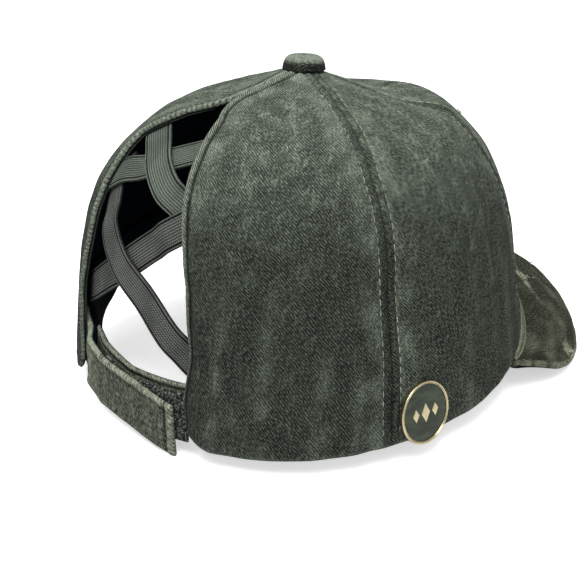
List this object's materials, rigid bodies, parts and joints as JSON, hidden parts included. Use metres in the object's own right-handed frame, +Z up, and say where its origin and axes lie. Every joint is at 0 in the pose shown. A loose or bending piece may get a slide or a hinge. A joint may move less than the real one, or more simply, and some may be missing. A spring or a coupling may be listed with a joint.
{
  "type": "ponytail baseball cap",
  "caption": "Washed cotton baseball cap with a curved brim, an open back crossed by elastic bands, a hook-and-loop closure strap and a round enamel pin.",
  "frame": {"origin": "middle of the footprint of the cap's bounding box, on the surface the cap rests on", "axes": "+Z up, -Y towards the brim, -X towards the wearer's right"},
  "size_m": [0.1692, 0.2464, 0.1293],
  "materials": {
    "washed_cotton": "washed dark olive-grey cotton twill, matt, speckled wear",
    "worn_cotton": "the same twill with paler worn edges, matt",
    "dark_lining": "near-black cotton, matt",
    "elastic_webbing": "grey-green ribbed elastic, matt",
    "loop_fabric": "dark fuzzy loop fabric, matt",
    "pale_gold": "polished pale gold plating",
    "olive_enamel": "glossy dark olive enamel"
  },
  "bodies": {
    "root": {"front_panel_right": "washed_cotton", "front_panel_left": "washed_cotton", "side_panel_right": "washed_cotton", "side_panel_left": "washed_cotton", "back_panel_right": "washed_cotton", "back_panel_left": "washed_cotton", "brim": "worn_cotton", "sweatband": "dark_lining", "elastic_upper_rising": "elastic_webbing", "elastic_upper_falling": "elastic_webbing", "elastic_lower_rising": "elastic_webbing", "elastic_lower_falling": "elastic_webbing", "outer_strap": "worn_cotton", "inner_strap": "washed_cotton", "loop_pad": "loop_fabric", "top_button": "worn_cotton", "pin_rim": "pale_gold", "pin_enamel": "olive_enamel"}
  },
  "joints": []
}
